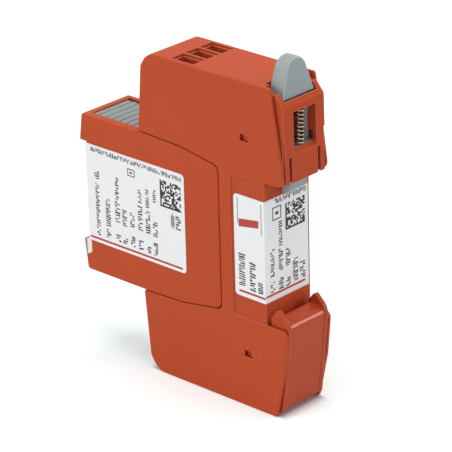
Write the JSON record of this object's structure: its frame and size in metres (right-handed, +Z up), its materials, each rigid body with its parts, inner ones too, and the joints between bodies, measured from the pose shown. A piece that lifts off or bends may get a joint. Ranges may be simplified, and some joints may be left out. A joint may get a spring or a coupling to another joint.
{
  "type": "din rail surge arrester",
  "caption": "Slim pluggable surge arrester: C-shaped screw-terminal base with a sprung rail foot and a pull-out protection module with release buttons.",
  "frame": {"origin": "centre of the bounding box's underside, with the device standing as it hangs on a horizontal rail", "axes": "+X towards the rail and the wall behind it, -X towards the front of the module, Y across the width, +Z up"},
  "size_m": [0.0723, 0.0176, 0.0963],
  "materials": {
    "red_body": "fine spark-eroded texture",
    "grey_parts": "fine texture",
    "lens": "clear moulded window",
    "flag": "green indicator",
    "steel": "zinc plated",
    "spring_steel": "drawn spring wire",
    "copper": "tinned copper strip",
    "bronze": "spring bronze",
    "label": "printed film",
    "epoxy": "dipped epoxy coat",
    "ceramic": "glazed ceramic with metal caps",
    "laminate": "coated glass laminate"
  },
  "bodies": {
    "base": {"base_housing": "red_body", "foot_guide_cap": "red_body", "rail_hook_plate": "red_body", "foot_spring": "spring_steel", "base_label": "label", "busbar_line": "copper", "busbar_neutral": "copper", "busbar_earth": "copper", "contact_clip_line": "bronze", "contact_clip_neutral": "bronze", "contact_clip_earth": "bronze"},
    "module": {"module_shell": "red_body", "module_cover": "red_body", "indicator_lens": "lens", "circuit_board": "laminate", "varistor_line": "epoxy", "varistor_neutral": "epoxy", "gas_discharge_tube": "ceramic", "plug_blade_line": "copper", "plug_blade_neutral": "copper", "plug_blade_earth": "copper", "module_label": "label", "button_spring_top": "spring_steel", "button_spring_bottom": "spring_steel", "disconnector_spring": "spring_steel"},
    "rail_foot": {"rail_foot": "grey_parts"},
    "release_button_top": {"release_button_top": "grey_parts"},
    "release_button_bottom": {"release_button_bottom": "grey_parts"},
    "indicator_slider": {"indicator_slider": "flag"},
    "screw_top_line": {"screw_top_line": "steel"},
    "clamp_top_line": {"clamp_top_line": "steel"},
    "screw_top_neutral": {"screw_top_neutral": "steel"},
    "clamp_top_neutral": {"clamp_top_neutral": "steel"},
    "screw_top_earth": {"screw_top_earth": "steel"},
    "clamp_top_earth": {"clamp_top_earth": "steel"},
    "screw_bottom_line": {"screw_bottom_line": "steel"},
    "clamp_bottom_line": {"clamp_bottom_line": "steel"},
    "screw_bottom_neutral": {"screw_bottom_neutral": "steel"},
    "clamp_bottom_neutral": {"clamp_bottom_neutral": "steel"},
    "screw_bottom_earth": {"screw_bottom_earth": "steel"},
    "clamp_bottom_earth": {"clamp_bottom_earth": "steel"}
  },
  "joints": [
    {"name": "module_pull", "type": "slide", "parent": "base", "child": "module", "axis": [-1, 0, 0], "range_m": [0, 0.034]},
    {"name": "foot_pull", "type": "slide", "parent": "base", "child": "rail_foot", "axis": [0, 0, 1], "range_m": [0, 0.0025], "stiffness_N_per_m": 2000, "springref_m": -0.002, "deforming": ["foot_spring"]},
    {"name": "button_top_press", "type": "slide", "parent": "module", "child": "release_button_top", "axis": [0, 0, -1], "range_m": [0, 0.001], "stiffness_N_per_m": 800, "springref_m": -0.001, "deforming": ["button_spring_top"]},
    {"name": "button_bottom_press", "type": "slide", "parent": "module", "child": "release_button_bottom", "axis": [0, 0, 1], "range_m": [0, 0.001], "stiffness_N_per_m": 800, "springref_m": -0.001, "deforming": ["button_spring_bottom"]},
    {"name": "indicator_trip", "type": "slide", "parent": "module", "child": "indicator_slider", "axis": [0, 0, 1], "range_m": [0, 0.0055], "deforming": ["disconnector_spring"]},
    {"name": "screw_top_line_turn", "type": "hinge", "parent": "base", "child": "screw_top_line", "pos_m": [-0.0122, -0.0053, 0.076], "axis": [1, 0, 0], "range_deg": [0, 3170]},
    {"name": "clamp_top_line_lift", "type": "slide", "parent": "base", "child": "clamp_top_line", "axis": [-1, 0, 0], "range_m": [0, 0.0044]},
    {"name": "screw_top_neutral_turn", "type": "hinge", "parent": "base", "child": "screw_top_neutral", "pos_m": [-0.0122, 0, 0.076], "axis": [1, 0, 0], "range_deg": [0, 3170]},
    {"name": "clamp_top_neutral_lift", "type": "slide", "parent": "base", "child": "clamp_top_neutral", "axis": [-1, 0, 0], "range_m": [0, 0.0044]},
    {"name": "screw_top_earth_turn", "type": "hinge", "parent": "base", "child": "screw_top_earth", "pos_m": [-0.0122, 0.0053, 0.076], "axis": [1, 0, 0], "range_deg": [0, 3170]},
    {"name": "clamp_top_earth_lift", "type": "slide", "parent": "base", "child": "clamp_top_earth", "axis": [-1, 0, 0], "range_m": [0, 0.0044]},
    {"name": "screw_bottom_line_turn", "type": "hinge", "parent": "base", "child": "screw_bottom_line", "pos_m": [-0.0122, -0.0053, 0.014], "axis": [1, 0, 0], "range_deg": [0, 3170]},
    {"name": "clamp_bottom_line_lift", "type": "slide", "parent": "base", "child": "clamp_bottom_line", "axis": [-1, 0, 0], "range_m": [0, 0.0044]},
    {"name": "screw_bottom_neutral_turn", "type": "hinge", "parent": "base", "child": "screw_bottom_neutral", "pos_m": [-0.0122, 0, 0.014], "axis": [1, 0, 0], "range_deg": [0, 3170]},
    {"name": "clamp_bottom_neutral_lift", "type": "slide", "parent": "base", "child": "clamp_bottom_neutral", "axis": [-1, 0, 0], "range_m": [0, 0.0044]},
    {"name": "screw_bottom_earth_turn", "type": "hinge", "parent": "base", "child": "screw_bottom_earth", "pos_m": [-0.0122, 0.0053, 0.014], "axis": [1, 0, 0], "range_deg": [0, 3170]},
    {"name": "clamp_bottom_earth_lift", "type": "slide", "parent": "base", "child": "clamp_bottom_earth", "axis": [-1, 0, 0], "range_m": [0, 0.0044]}
  ],
  "couplings": [
    {"joint": "screw_top_line_turn", "follows": "clamp_top_line_lift", "rad_per_m": 12566},
    {"joint": "screw_top_neutral_turn", "follows": "clamp_top_neutral_lift", "rad_per_m": 12566},
    {"joint": "screw_top_earth_turn", "follows": "clamp_top_earth_lift", "rad_per_m": 12566},
    {"joint": "screw_bottom_line_turn", "follows": "clamp_bottom_line_lift", "rad_per_m": 12566},
    {"joint": "screw_bottom_neutral_turn", "follows": "clamp_bottom_neutral_lift", "rad_per_m": 12566},
    {"joint": "screw_bottom_earth_turn", "follows": "clamp_bottom_earth_lift", "rad_per_m": 12566}
  ]
}
